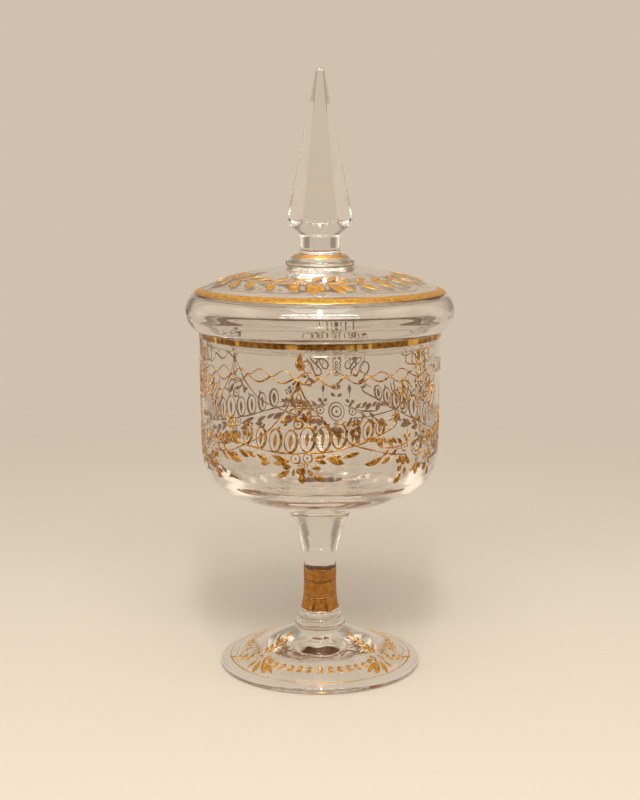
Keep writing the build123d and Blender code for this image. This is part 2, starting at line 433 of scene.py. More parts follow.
def foot_slope():
    """The foot's upper side: a smooth curve from its rounded edge up to the collar."""
    rim_point = (foot_radius - foot_edge, 2 * foot_edge)
    return smooth([rim_point, (40, 8.9), (24, 16), (foot_shoulder, foot_top)], 70, start=(-1, 0.2))


def foot_profile():
    """From the underside's middle outwards: shallow hollow, ground ring, half-round edge, upper side."""
    r = foot_radius - foot_edge
    tread = r - 5.0
    return joined(
        smooth([(0, 10.5), (7, hollow_top)], 8, start=(1, 0), end=(1, -0.3)),
        straight((7, hollow_top), (12, hollow_top), 4),
        smooth([(12, hollow_top), (40, 4.7), (tread, 0)], 46, start=(1, 0), end=(1, -0.6)),
        straight((tread, 0), (r, 0), 5),
        arc((r, foot_edge), foot_edge, -90, 90, 16),
        foot_slope(),
        straight((foot_shoulder, foot_top), (foot_joint, foot_top), 3),
        straight((foot_joint, foot_top), (0, foot_top), 5),
    )


def foot_swell(angle, r, z):
    """Slow waves from the maker's tools, underneath only: two that turn with the radius, and one round."""
    under = np.where((z < 11) & (r < foot_radius - 7), 1.0, 0.0) * np.clip(z / 2, 0, 1)
    turning = 0.10 * np.sin(3 * angle + r / 7) + 0.05 * np.sin(8 * angle - r / 3)
    return under * (turning + 0.08 * np.sin(r / 2.6))


def make_foot():
    """The foot's profile carried round, its top face joined to the collar."""
    p = foot_profile()
    grids = [(rings(p, 320, foot_swell), False)]
    marks = [(ring_at(p, foot_top, foot_joint), 1)]
    mesh_piece("foot_glass", grids, [blown, joint], "jar", ["foot"], marks)


def bead(name, node, radius, low, high, joint_low, joint_high, around=256):
    """A glass bead between two joints: a full round edge, and flat joined faces below and above."""
    half = (high - low) / 2
    p = joined(
        straight((0, low), (joint_low, low), 4),
        straight((joint_low, low), (radius - half, low), 3),
        arc((radius - half, low + half), half, -90, 90, 20),
        straight((radius - half, high), (joint_high, high), 3),
        straight((joint_high, high), (0, high), 4),
    )
    outside = int(np.argmax(p[:, 0] >= joint_low - 1e-6))
    marks = [(0, 1), (outside, 0), (ring_at(p, high, joint_high), 1)]
    mesh_piece(name, [(rings(p, around), False)], [thick, joint], "jar", [node], marks)


# Stem: a round blank whose six panels are cut with a wheel

stem_flange = 11.5
flange_round = 1.7
flange_high = stem_low + 2 * flange_round
stem_root = 10.9
stem_top = 18.2


def stem_blank():
    """The blank's profile: a small round flange, then a curve that draws in to a waist and flares out."""
    side = smooth(
        [
            (stem_root, flange_high),
            (9.1, stem_low + 26),
            (9.45, stem_low + 36.7),
            (11.4, stem_low + 45.5),
            (13.5, stem_low + 51.6),
            (stem_top, stem_high),
        ],
        150, start=(-0.28, 1), end=(0.5, 1),
    )
    return joined(
        straight((0, stem_low), (stem_joint, stem_low), 4),
        arc((stem_flange - flange_round, stem_low + flange_round), flange_round, -90, 90, 18),
        straight((stem_joint, flange_high), (stem_root, flange_high), 3),
        side,
        straight((stem_top, stem_high), (0, stem_high), 5),
    )


def six_sided(angle):
    """Distance to a six-sided bar's flat, for a bar that is 1 to each flat, with a flat to the front."""
    turn = TURN / 6
    return 1 / np.cos((angle + turn / 2) % turn - turn / 2)


def least(a, b, soft):
    """The smaller of two, rounded off where they are about equal."""
    share = np.clip(0.5 + 0.5 * (b - a) / np.maximum(soft, 1e-6), 0, 1)
    return b * (1 - share) + a * share - soft * share * (1 - share)


def panel_reach(z):
    """A panel's distance from the axis: straight up to the waist, then a part of the wheel's round."""
    low, waist = 9.95, 8.25
    waist_z, wheel = stem_low + 29, 46.0
    below = low + (waist - low) * (z - flange_high) / (waist_z - flange_high)
    rise = np.clip(z - waist_z, 0, wheel * 0.98)
    above = waist + wheel - np.sqrt(wheel**2 - rise**2)
    return np.where(z < waist_z, below, above)


def stem_radius(angle, r, z):
    """The cut stem's radius: the blank above its flange, or the panel where the wheel cut deeper."""
    cut_to = panel_reach(z) * six_sided(angle)
    return np.where(z > flange_high + 1e-6, least(r, cut_to, 0.35), r)


def make_stem():
    """The blank carried round, cut wherever a panel lies deeper than its side."""
    p = stem_blank()
    around = 288
    angle = np.arange(around) * TURN / around
    r = np.repeat(p[:, :1], around, 1)
    z = np.repeat(p[:, 1:], around, 1)
    side = (z < stem_high - 1e-6) | (r > stem_top - 0.1)
    r = np.where(side, stem_radius(angle[None, :], r, z), r)
    grids = [(turned(r, angle, z), False)]
    marks = [(0, 1), (3, 0), (ring_at(p, stem_high, stem_top), 1)]
    mesh_piece("stem_glass", grids, [cut, joint], "jar", ["stem"], marks)


def make_stem_gilding():
    """Three tiers of gold that follow the panels, their edges a little uneven from the brush.

    Each stands 0.11 mm proud in its middle and runs out flat at its edges, and its underside is sunk.
    """
    around = 288
    angle = np.arange(around) * TURN / around
    blank = stem_blank()
    side = blank[(blank[:, 1] > flange_high) & (blank[:, 1] < stem_high)]
    grids = []
    tier_widths = (7.7, 8.4, 5.9)
    bare_line = 0.6
    low = flange_high + 0.5
    for number, width in enumerate(tier_widths):
        share = np.linspace(0, 1, 26)[:, None]
        uneven = 0.12 * np.sin(5 * angle + number) + 0.08 * np.sin(13 * angle + 2 * number)
        z = low + width * share + uneven[None, :] * (2 * share - 1)
        r = np.interp(z, side[:, 1], side[:, 0])
        r = stem_radius(angle[None, :], r, z)
        proud = 0.13 * (1 - np.abs(2 * share - 1) ** 12) - 0.02
        outer = turned(r + proud, angle, z)
        inner = turned(r - 0.04, angle, z)[::-1]
        grids.append(np.concatenate([outer, inner]))
        low += width + bare_line
    gold_loops("stem_gold", grids, gold_stem, "jar", "stem_gilding")


# Bowl

wall_start = bowl_low + 38.0
wall_radius = bowl_radius - 0.8
wall_thickness = 2.7
lip_round = 0.5
lip_gap = 0.05
lip_low = rim - lip_round - lip_gap
floor_z = bowl_low + 15.0


def bowl_outside():
    """From the stem outwards and up: a round bottom, then a wall that leans out a little up to the lip."""
    across = np.array([0.551, 0.735, 0.873, 0.959]) * wall_radius
    up = bowl_low + np.array([0.155, 0.271, 0.418, 0.616]) * (wall_start - bowl_low)
    points = [(stem_top, bowl_low), *zip(across, up), (wall_radius, wall_start)]
    bottom = smooth(points, 110, start=(1, 0.24), end=(0.0127, 1))
    return joined(bottom, straight((wall_radius, wall_start), (bowl_radius, lip_low), 60))


def bowl_inside():
    """From the lip down and in: a straight wall, then a bottom that curves in to the middle."""
    inner = wall_radius - wall_thickness
    across = np.array([0.958, 0.871, 0.735, 0.415]) * inner
    up = floor_z + np.array([0.57, 0.27, 0.11, 0.022]) * (wall_start - floor_z)
    points = [(inner, wall_start), *zip(across, up), (0, floor_z)]
    bottom = smooth(points, 90, start=(-0.0127, -1), end=(-1, 0))
    return joined(straight((bowl_radius - wall_thickness, lip_low), (inner, wall_start), 40), bottom)


def bowl_swell(angle, r, z):
    """Slow unevenness of blown glass, on the inside only, so that the paint lies true on the outside."""
    inside = np.where(r < np.interp(z, bowl_side[:, 1], bowl_side[:, 0]) - 1.2, 1.0, 0.0)
    inside = inside * np.clip((rim - z) / 20, 0, 1)
    floor = np.exp(-(((z - floor_z) / 12) ** 2))
    wall = 0.06 * np.sin(2 * angle + z / 21) + 0.05 * np.sin(5 * angle - z / 9)
    return inside * (wall + floor * (0.12 * np.sin(r / 3.1) + 0.10 * np.sin(3 * angle + r / 8)))


bowl_side = bowl_outside()


def make_bowl():
    """The joined face, the outside, a lip with two rounded corners, and the inside, carried round."""
    lip = joined(
        arc((bowl_radius - lip_round, lip_low), lip_round, 0, 90, 9),
        arc((bowl_radius - wall_thickness + lip_round, lip_low), lip_round, 90, 180, 9),
    )
    p = joined(straight((0, bowl_low), (stem_top, bowl_low), 5), bowl_side, lip, bowl_inside())
    grids = [(rings(p, 300, bowl_swell), False)]
    mesh_piece("bowl_glass", grids, [blown, joint], "jar", ["bowl"], [(0, 1), (4, 0)])


def band_loop(inner, uneven, around=360, lift=0.12):
    """A thin gold band laid on a profile: its outer skin stands proud, and its edges wander a little."""
    angle = np.arange(around) * TURN / around
    share = np.linspace(-1, 1, len(inner))
    normal = outward(inner)
    along = np.gradient(inner, axis=0)
    along = along / np.linalg.norm(along, axis=1)[:, None]
    wander = uneven * (np.sin(3 * angle + 1) + 0.6 * np.sin(11 * angle) + 0.4 * np.sin(23 * angle + 2))
    proud = lift * (1 - np.abs(share) ** 10) - 0.02

    def skin(height):
        """The profile moved out by height, each ring wandering along it and most at the edges."""
        p = inner + normal * height[:, None]
        move = share[:, None] * wander[None, :]
        r = p[:, :1] + along[:, :1] * move
        z = p[:, 1:] + along[:, 1:] * move
        return turned(r, angle, z)

    return np.concatenate([skin(proud), skin(np.full(len(inner), -0.04))[::-1]])


def gold_loops(name, loops, finish, body, node):
    """Makes bands from loops whose second half is the underside, which shows through the glass."""
    grids = [(loop, True) for loop in loops]
    marks = [(0, 0), (len(loops[0]) // 2 - 1, 1)]
    mesh_piece(name, grids, [finish, gold_behind], body, [node], marks)


def make_rim_gilding():
    """The gold band close under the lip, laid on the bowl's outside."""
    low, high = node_span("rim_gilding")
    z = np.linspace(low, high, 16)
    r = np.interp(z, bowl_side[:, 1], bowl_side[:, 0])
    gold_loops("rim_gold", [band_loop(np.stack([r, z], 1), 0.04)], gold_band, "jar", "rim_gilding")


# Lid

roll_reach = 5.7
roll_rise = 10.4
roll_points = 60
seat_radius = roll_radius - roll_reach
roll_round = (roll_rise**2 + roll_reach**2) / (2 * roll_reach)
roll_middle = (roll_radius - roll_round, rim + roll_rise)
dome_edge = roll_radius - 7.5
dome_edge_turn = math.degrees(math.acos((dome_edge - roll_middle[0]) / roll_round))
dome_edge_z = roll_middle[1] + roll_round * math.sin(math.radians(dome_edge_turn))
flange_outer = bowl_radius - wall_thickness - 0.8
flange_inner = flange_outer - 2.2
flange_low = rim - 7.5
flange_edge = 1.1
roll_wall = 3.0
crown_wall = 3.2
crown_joint = knop_radius - 2.3


def dome_line(drop, end, count):
    """The dome from its edge up to the crown's flat, lowered by drop."""
    rise = dome_top - dome_edge_z
    turn = math.radians(dome_edge_turn)
    return smooth(
        [
            end,
            (0.835 * dome_edge, dome_edge_z + 0.392 * rise - drop),
            (0.561 * dome_edge, dome_edge_z + 0.781 * rise - drop),
            (knop_radius, dome_top - drop),
        ],
        count, start=(-math.sin(turn), math.cos(turn)), end=(-1, 0.06),
    )


def roll_end(inset):
    """Where the roll ends and the dome begins, an inset below its outside."""
    a = math.radians(dome_edge_turn)
    reach = roll_round - inset
    return (roll_middle[0] + reach * math.cos(a), roll_middle[1] + reach * math.sin(a))


def lid_outside():
    """From the seat up and in: the roll, a part of a circle, and then the dome."""
    seat_turn = -math.degrees(math.asin(roll_rise / roll_round))
    roll = arc(roll_middle, roll_round, seat_turn, dome_edge_turn, roll_points)
    return joined(roll, dome_line(0, roll_end(0), 90))


def lid_swell(angle, r, z):
    """Unevenness of the blown lid, on its inside only: two slow waves round it and one up it."""
    roll, dome = lid_side[:roll_points], lid_side[roll_points:]
    outer_r = np.interp(z, roll[:, 1], roll[:, 0])
    outer_z = np.interp(-r, -dome[:, 0], dome[:, 1])
    inside = np.where((r < outer_r - 1.5) & (z < outer_z - 1.5), 1.0, 0.0)
    turning = 0.10 * np.sin(2 * angle + r / 9) + 0.07 * np.sin(5 * angle - r / 6)
    return inside * (turning + 0.05 * np.sin(z * 1.3))


lid_side = lid_outside()


def make_lid():
    """One shell: out under the dome, round inside the roll, down and up the flange, back over the top."""
    hollow = arc(roll_middle, roll_round - roll_wall, dome_edge_turn, -60, 44)
    inner_top = (flange_inner, rim - 0.5)
    flange_turn = flange_low + flange_edge
    p = joined(
        straight((0, dome_top - crown_wall), (knop_radius, dome_top - crown_wall), 5),
        dome_line(crown_wall, roll_end(roll_wall), 70)[::-1],
        hollow,
        smooth([hollow[-1], inner_top], 8, start=(-0.87, -0.5), end=(0, -1)),
        straight(inner_top, (flange_inner, flange_turn), 10),
        arc((flange_inner + flange_edge, flange_turn), flange_edge, -180, 0, 14),
        straight((flange_outer, flange_turn), (flange_outer, rim - 0.3), 10),
        straight((flange_outer + 0.3, rim), (seat_radius, rim), 5),
        lid_side,
        straight((knop_radius, dome_top), (crown_joint, dome_top), 4),
        straight((crown_joint, dome_top), (0, dome_top), 4),
    )
    grids = [(rings(p, 288, lid_swell), False)]
    marks = [(ring_at(p, dome_top, crown_joint), 1)]
    mesh_piece("lid_glass", grids, [blown, joint], "lid", ["lid"], marks)


def make_edge_gilding():
    """The gold line over the dome's edge: most of it on the roll, and a little on the dome."""
    start = dome_edge_turn - math.degrees(2.9 / roll_round)
    on_roll = arc(roll_middle, roll_round, start, dome_edge_turn, 12)
    on_dome = lid_side[roll_points - 1 : roll_points + 4]
    loop = band_loop(joined(on_roll, on_dome), 0.05)
    gold_loops("lid_edge_gold", [loop], gold_bright, "lid", "lid_edge_gilding")


# Knop and spire

knop_edge = 4.6
knop_top = 13.4


def make_knop():
    """A round-edged disc: a flat joined face, an edge that is part of a circle, and a sloped top."""
    half = knop_edge / 2
    base = knop_radius - half
    p = joined(
        straight((0, dome_top), (base, dome_top), 4),
        arc((base, dome_top + half), half, -90, 60, 26),
        straight((base + half * 0.5, dome_top + half * 1.866), (knop_top, spire_low), 14)[1:],
        straight((knop_top, spire_low), (spire_joint, spire_low), 3),
        straight((spire_joint, spire_low), (0, spire_low), 4),
    )
    marks = [(0, 1), (3, 0), (ring_at(p, spire_low, spire_joint), 1)]
    grids = [(rings(p, 256), False)]
    mesh_piece("knop_glass", grids, [thick, joint], "lid", ["knop"], marks)


def make_knop_gilding():
    """The gold line on the upper 3 mm of the knop's sloped top."""
    low = np.array([knop_radius - knop_edge / 2, dome_top + knop_edge])
    high = np.array([knop_top, spire_low])
    along = (high - low) / np.linalg.norm(high - low)
    length = np.linalg.norm(high - low)
    p = straight(low + along * (length - 3.0) + along * 0.05, high - along * 0.05, 12)
    loop = band_loop(p, 0.04, 256)
    gold_loops("knop_gold", [loop], gold_bright, "lid", "knop_gilding")


def make_spire():
    """A round blank with a waisted neck and a cone, cut to six flats that end in scallops below."""
    neck, broad, narrow = 10.9, 17.7, 3.0
    neck_low, neck_high = spire_low + 5.6, spire_low + 9.2
    shoulder = spire_low + 19.4
    cone = tip - 2.9
    lean = (broad - narrow) / (cone - shoulder)
    rise = [(neck, neck_high), (15.0, spire_low + 14), (broad, shoulder)]
    blank = joined(
        straight((0, spire_low), (spire_joint, spire_low), 4),
        smooth([(spire_joint, spire_low), (neck, neck_low)], 18, start=(-1, 1), end=(0, 1)),
        straight((neck, neck_low), (neck, neck_high), 8),
        smooth(rise, 60, start=(0, 1), end=(-lean, 1)),
        straight((broad, shoulder), (narrow, cone), 120),
        smooth([(narrow, cone), (0, tip)], 16, start=(-lean, 1), end=(-1, 0)),
    )
    around = 288
    angle = np.arange(around) * TURN / around
    r = np.repeat(blank[:, :1], around, 1)
    z = np.repeat(blank[:, 1:], around, 1)
    wide, slim = broad - 2.3, narrow - 0.4
    flat = wide - (wide - slim) * (z - shoulder) / (cone - shoulder)
    cut_to = flat * six_sided(angle)[None, :]
    r = np.where(z > spire_low + 10, least(r, cut_to, np.minimum(0.45, r * 0.2)), r)
    grids = [(turned(r, angle, z), False)]
    mesh_piece("spire_glass", grids, [cut, joint], "lid", ["spire"], [(0, 1), (3, 0)])


# Painted ornament: brush strokes laid on a surface


class Brush:
    """Gathers brush strokes in a surface's own flat coordinates and makes them one raised mesh.

    A stroke is a line of points with a half width at each. Its section is a low crown whose edges and
    underside are sunk a hair into the glass. Points are counted from the brush's origin.
    """

    section = ((-1.0, -0.03), (-0.62, 0.8), (0.0, 1.0), (0.62, 0.8), (1.0, -0.03))

    def __init__(self, place, height=0.12):
        self.place = place
        self.height = height
        self.origin = (0.0, 0.0)
        self.grids = []
        self.shake = np.random.default_rng(7)

    def stroke(self, points, half, closed=False):
        """Sweeps the section along the points: half gives its half width, and a thin stroke is lower."""
        p = np.asarray(points, float) + self.origin
        half = np.broadcast_to(np.asarray(half, float), (len(p),))
        q = np.concatenate([p[-1:], p, p[:1]]) if closed else p
        along = np.gradient(q, axis=0)
        along = along[1:-1] if closed else along
        along = along / np.maximum(np.linalg.norm(along, axis=1)[:, None], 1e-9)
        side = np.stack([along[:, 1], -along[:, 0]], 1)
        sweep = []
        for across, up in self.section:
            flat = p + side * (half * across)[:, None]
            lift = up * self.height * np.minimum(1, half / 0.25 + 0.25) if up > 0 else np.full(len(p), up)
            sweep.append(self.place(flat[:, 0], flat[:, 1], lift))
        self.grids.append((np.stack(sweep, 1), closed))

    def line(self, points, width, ends=0.3):
        """A brush line through the points, pressed unevenly and thinner at its two ends."""
        p = np.array(points, float)
        length = np.linalg.norm(np.diff(p, axis=0), axis=1).sum()
        count = int(np.clip(length / 0.9, 7, 110))
        p = smooth(p, count)
        t = np.linspace(0, 1, count)
        press = 1 + 0.25 * np.sin(t * length / 3.1 + self.shake.uniform(0, 6))
        taper = ends + (1 - ends) * np.minimum(1, np.minimum(t, 1 - t) * length / 2.0)
        self.stroke(p, width / 2 * press * taper)

    def leaf(self, start, tip, width, bend=8.0, blunt=0.6, count=10):
        """A leaf pressed with the brush from start to tip: it starts thin, swells, and ends rounded.

        bend is the turn of its rib in degrees. A high blunt puts the widest part near the tip.
        """
        a, b = np.array(start, float), np.array(tip, float)
        across = np.array([a[1] - b[1], b[0] - a[0]])
        t = (1 - np.cos(np.linspace(0, math.pi, count))) / 2
        bow = math.tan(math.radians(bend) / 4)
        p = a + (b - a) * t[:, None] + across * (2 * bow * t * (1 - t))[:, None]
        swell = np.sin(math.pi * t ** (0.8 + 0.9 * blunt)) ** 0.8
        half = width / 2 * np.maximum(swell, 0.07) * self.shake.uniform(0.92, 1.08)
        self.stroke(p, half)

    def leaves(self, *rows):
        """Leaves, each given as start x, start z, tip x, tip z, width and, if it matters, bend."""
        for x0, z0, x1, z1, width, *bend in rows:
            self.leaf((x0, z0), (x1, z1), 1.15 * width, *bend)

    def ring(self, x, z, rx, rz, width, tilt=0.0, press=0.3):
        """A painted ring, heavier on its right."""
        count = int(np.clip((rx + rz) * 3.2, 12, 30))
        a = np.arange(count) * TURN / count
        t = math.radians(tilt)
        u, v = rx * np.sin(a), rz * np.cos(a)
        p = np.stack([x + u * math.cos(t) + v * math.sin(t), z - u * math.sin(t) + v * math.cos(t)], 1)
        self.stroke(p, width / 2 * (1 + press * np.sin(a + self.shake.uniform(-0.6, 0.6))), closed=True)

    def dot(self, x, z, r):
        """A touch of the brush, as long as it is wide."""
        self.leaf((x - r, z), (x + r, z), 2 * r, 0, 0.2, 6)

    def eye(self, x, z, r, width=0.65, stretch=1.0):
        """A ring with a dot in it."""
        self.ring(x, z, r, r * stretch, width)
        self.dot(x, z, 0.55 + 0.08 * r)

    def make(self, name, material, body):
        """Skins every stroke: its section is closed, its two ends are capped, and its underside is flat."""
        verts, faces, under = [], [], []
        base = 0
        for grid, closed in self.grids:
            count, across = grid.shape[:2]
            index = base + np.arange(count * across).reshape(count, across)
            follow = np.roll(index, -1, axis=0) if closed else index[1:]
            here = index if closed else index[:-1]
            left, right = np.roll(here, -1, axis=1), np.roll(follow, -1, axis=1)
            faces += np.stack([here, left, right, follow], 2).reshape(-1, 4).tolist()
            under += ([False] * (across - 1) + [True]) * len(here)
            if not closed:
                faces.append(index[0][::-1].tolist())
                faces.append(index[-1].tolist())
                under += [True, True]
            verts.append(grid.reshape(-1, 3))
            base += count * across
        mesh = bpy.data.meshes.new(name)
        mesh.from_pydata((np.concatenate(verts) * MM).tolist(), [], faces)
        for finish in (material, gold_behind):
            mesh.materials.append(finish)
        mesh.shade_smooth()
        mesh.polygons.foreach_set("material_index", np.array(under, np.int32))
        mesh.attributes.new("sharp_face", "BOOLEAN", "FACE")
        mesh.attributes["sharp_face"].data.foreach_set("value", np.array(under))
        mesh.update()
        piece = bpy.data.objects.new(name, mesh)
        bpy.context.scene.collection.objects.link(piece)
        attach(piece, body)
        return piece


paint_radius = 65.8
paint_round = TURN * paint_radius
swag_z = rim - 56.4


def on_bowl(across, z, lift):
    """A place on the bowl: across is an arc length from the front, z a height, lift is off the glass."""
    r = np.interp(z, bowl_side[:, 1], bowl_side[:, 0])
    slope = np.interp(z, bowl_side[:, 1], np.gradient(bowl_side[:, 0], bowl_side[:, 1]))
    size = np.sqrt(1 + slope**2)
    return turned(r + lift / size, across / paint_radius, z - lift * slope / size)


def on_cap(side):
    """A place function for a cap seen from above: x and y are a plan, and z follows the profile."""
    order = np.argsort(side[:, 0])
    radii, heights = side[order, 0], side[order, 1]
    slopes = np.gradient(heights, radii)

    def place(x, y, lift):
        """Height is read off the profile, and lift goes along the profile's normal."""
        r = np.hypot(x, y)
        z = np.interp(r, radii, heights)
        slope = np.interp(r, radii, slopes)
        size = np.sqrt(1 + slope**2)
        out = -lift * slope / size / np.maximum(r, 1)
        return np.stack([x * (1 + out), y * (1 + out), z + lift / size], 1)

    return place


def chain(brush):
    """Two hand-drawn waves that cross all round the bowl, thin above and heavy below."""
    lenses = 32
    step = paint_round / lenses
    shake = np.random.default_rng(11)
    cross_x = np.arange(lenses) * step + shake.uniform(-0.9, 0.9, lenses)
    cross_z = rim - 17.6 + shake.uniform(-0.7, 0.7, lenses)
    high = cross_z + shake.uniform(1.9, 4.0, lenses)
    low = cross_z - shake.uniform(2.6, 4.0, lenses)
    brush.origin = (0.0, 0.0)
    for k in range(lenses):
        n = (k + 1) % lenses
        a = np.array([cross_x[k], cross_z[k]])
        b = np.array([cross_x[n] + (paint_round if n == 0 else 0), cross_z[n]])
        mid = (a[0] + b[0]) / 2
        over = smooth([a - (0.9, -0.3), a, (mid, high[k]), b], 18)
        under = smooth([a, (mid + 0.6, low[k]), b, b + (1.0, 0.5)], 18)
        t = np.linspace(0, 1, 18)
        brush.stroke(over, 0.22 + 0.06 * np.sin(math.pi * t))
        brush.stroke(under, 0.26 + 0.2 * np.sin(math.pi * t**1.6) + 0.14 * t**4)


def swag_panel(brush, axis):
    """The front motif: a three-leaf crest, two tent lines that run on as garlands, and a swag of ovals."""
    brush.origin = (axis, swag_z)
    brush.leaves(
        (-0.6, 41.8, 0.3, 51.4, 2.3, 4), (-0.6, 42.2, -2.2, 47.2, 1.6, -10),
        (-0.2, 42, 2.6, 45.8, 2.1, 10), (-0.4, 41.6, 3.4, 38.7, 1.7, 6),
        (-0.8, 36.8, -0.9, 30.6, 2.3, 0, 0.0),
    )
    brush.line([(-2.8, 36.3), (-0.9, 36.8), (1.0, 36.5)], 0.7)
    brush.ring(-0.6, 27.7, 1.25, 2.9, 0.7)
    left = [
        (-1.1, 34.5), (-5, 27.5), (-7.4, 22.2), (-10.9, 17.5), (-15.2, 12.6),
        (-22, 7), (-31.4, 2.4), (-41, -1.9), (-50, -3.6), (-58, -3.6),
    ]
    right = [
        (0, 34.5), (2.3, 28.9), (6.5, 22.6), (10, 19), (16.1, 12.3), (24.2, 6.3),
        (28.5, 3.4), (35, 1.2), (42.7, -1.1), (51, -3), (60, -4.2),
    ]
    base = [
        (-62, 3.6), (-54, 2.2), (-47, 2), (-38, 2.7), (-30, 1.9), (-21, 0.6), (-11, -0.5), (3, -0.2),
        (14, 0.5), (24, 2.4), (31.3, 4), (38, 6), (44, 8.4), (50, 10.9), (53, 13.4), (51, 15.8), (48, 15.2),
    ]
    brush.line(left, 0.65)
    brush.line(right, 0.7)
    brush.line(base, 0.8)
    brush.leaves((-5.6, 26.2, -4.9, 28.6, 1.0))
    brush.line([(-2.6, 23.2), (-0.7, 25.0), (1.4, 23.0)], 0.5)
    brush.eye(-0.8, 21.8, 1.5)
    brush.line([(-2.4, 22.9), (-5.2, 21.6), (-5.9, 18.9), (-3.4, 17.4), (-0.6, 18.1)], 1.25)
    brush.line([(0.6, 21.6), (3.0, 22.7), (5.4, 20.6), (5.5, 17.6), (5.0, 14.6)], 0.85)
    brush.leaf((0.9, 20.8), (4.4, 15.4), 3.5, 14, 0.7)
    brush.eye(-1.0, 14.7, 2.35, 0.95)
    brush.leaves(
        (-10.6, 16.7, -7.4, 15.0, 1.5), (-6.4, 19.2, -8.3, 14.2, 1.7, -20), (-8.8, 13.6, -6.6, 14.6, 1.0),
    )
    brush.line([(5.7, 13.0), (5.4, 15.7), (7.0, 17.6), (9.6, 18.8)], 0.75)
    ovals = (
        (-29.9, 8.3, 2.8, 5.4), (-21.6, 6.8, 2.8, 5.6), (-13.4, 5.8, 3.3, 6.0), (-5.0, 5.7, 3.4, 5.9),
        (3.7, 7.0, 3.9, 6.5), (11.8, 7.1, 3.8, 6.5), (20.2, 8.6, 3.7, 6.4), (27.6, 9.4, 3.3, 5.8),
        (35.6, 10.8, 2.9, 5.0), (42.6, 12.2, 2.5, 4.3),
    )
    for number, (x, z, rx, rz) in enumerate(ovals):
        tilt = 5 + 1.4 * max(0, number - 5)
        brush.ring(x, z, rx, rz, 1.0, tilt, 0.5)
        lean = math.radians(tilt)
        foot_x, foot_z = x - 0.75 * rz * math.sin(lean), z - 0.75 * rz * math.cos(lean)
        top_x, top_z = x + 0.6 * rz * math.sin(lean), z + 0.6 * rz * math.cos(lean)
        brush.leaf((foot_x, foot_z), (top_x, top_z), 1.9 if number % 3 else 2.3, 6, 0.5)
        if number in (1, 2, 3, 5, 6, 8):
            brush.leaf((x + 0.4 * rx, z + 0.9 * rz), (x + 0.9 * rx, z + rz + 1.6), 1.1)
    brush.line([(30.0, 13.2), (32.2, 16.4), (32.6, 19.4)], 0.8)
    garland(brush)


def garland(brush):
    """The laurel garland under the swag: rosettes, pairs of leaves each way, and a hanging bunch."""
    for x, z, r in ((-2.5, -3.2, 2.45), (3.8, -2.8, 2.35), (0.4, -6.9, 1.7)):
        brush.eye(x, z, r)
    brush.ring(2.9, -6.5, 0.9, 0.9, 0.5)
    brush.leaves(
        (-46.5, -2.9, -40.2, -5.6, 2.2), (-41.8, -3.1, -36.8, -4.9, 2.0), (-36.4, -0.9, -29.4, -4.4, 2.7),
        (-31, -1.2, -25, -3.8, 2.1), (-24.6, -2.4, -17.9, -4.8, 2.2), (-16, -5.8, -22, -6.6, 2.6),
        (-5.4, -4.3, -15.4, -2.2, 2.3), (-5.4, -4.6, -14.6, -6.2, 2.5), (7.0, -3.2, 13.6, -1.3, 1.9),
        (7.0, -3.5, 13.6, -5.5, 2.2), (13.1, -3.2, 21.2, -1.9, 2.2), (13.5, -3.3, 22.8, -5.9, 2.9),
        (21.0, -3.2, 31, -0.6, 2.3), (-4.4, -7.4, -9.8, -7.6, 3.0), (-5.2, -9.2, -12.4, -13.5, 2.6),
        (-3.4, -8.6, -3.8, -12.6, 1.6), (0.4, -10.2, 1.1, -16.6, 3.5), (3.6, -8.4, 6.2, -12.3, 2.3),
        (5.8, -8.1, 10.7, -8.2, 2.3), (6.6, -11.4, 12.0, -15.4, 2.5), (-2.0, -8.0, 0.0, -11.5, 2.6),
        (2.2, -8.0, 0.8, -11.5, 2.6),
    )


def side_drop(brush, axis, side):
    """Beside the upright motif: a hanging bunch, long leaves, a short spray and a looped ribbon.

    side is 1 for the drop on the left of the upright motif and -1 for its mirror on the right.
    """
    brush.origin = (axis - side * 69, swag_z)

    def at(x, z):
        """A place on this side of the upright motif."""
        return (side * x, z)

    def leaf(x0, z0, x1, z1, width, bend=8.0, blunt=0.6):
        brush.leaf(at(x0, z0), at(x1, z1), width, side * bend, blunt)

    leaf(45.5, -2.4, 34, -6.9, 3.3, 46, 0.7)
    leaf(50, -3.4, 43.4, -7.0, 2.5, 26)
    for row in (
        (56.5, -4.2, 53.6, -8.0, 3.2), (57.5, -4.4, 58.5, -9.6, 3.6), (60, -5.2, 62.6, -9.6, 2.6),
        (57.0, -9.0, 54.4, -12.6, 3.0), (59.2, -10.4, 59.4, -15.2, 2.8), (57.2, -13.6, 52.8, -19.4, 3.4),
        (40, 6.4, 44.2, 1.3, 2.8), (47, 5.2, 50.8, 1.2, 2.1), (53.4, 5.4, 57.2, 1.7, 2.0),
        (59.2, 5.6, 61.2, 2.4, 1.7),
    ):
        leaf(*row)
    brush.line([at(42.5, 1.2), at(51, 0.8), at(59, 1.6), at(64.5, 4.2)], 0.6)
    ribbon = [
        (47.4, 15.0), (51.0, 16.6), (52.0, 19.6), (49.6, 23), (48.3, 26.2), (49.4, 29), (51.8, 29),
        (54.6, 24.8), (57.2, 20.6), (59.6, 21.2), (58.4, 25.2), (54.4, 29.2), (53.2, 31.6), (55.8, 31.2),
        (59.8, 26.4), (62.4, 24.3), (63.8, 26.2), (61, 30.2), (57.2, 33), (57, 35.2), (60.2, 34.4),
        (64.2, 30.4),
    ]
    brush.line([at(*p) for p in ribbon], 0.8)
    leaf(51.4, 19.4, 55.4, 15.6, 2.2)
    leaf(50.4, 14.8, 54.2, 14.2, 1.6)
    for x, z in ((57.0, 28.4), (58.6, 30.2), (57.4, 31.4)):
        brush.dot(side * x, z, 0.9)


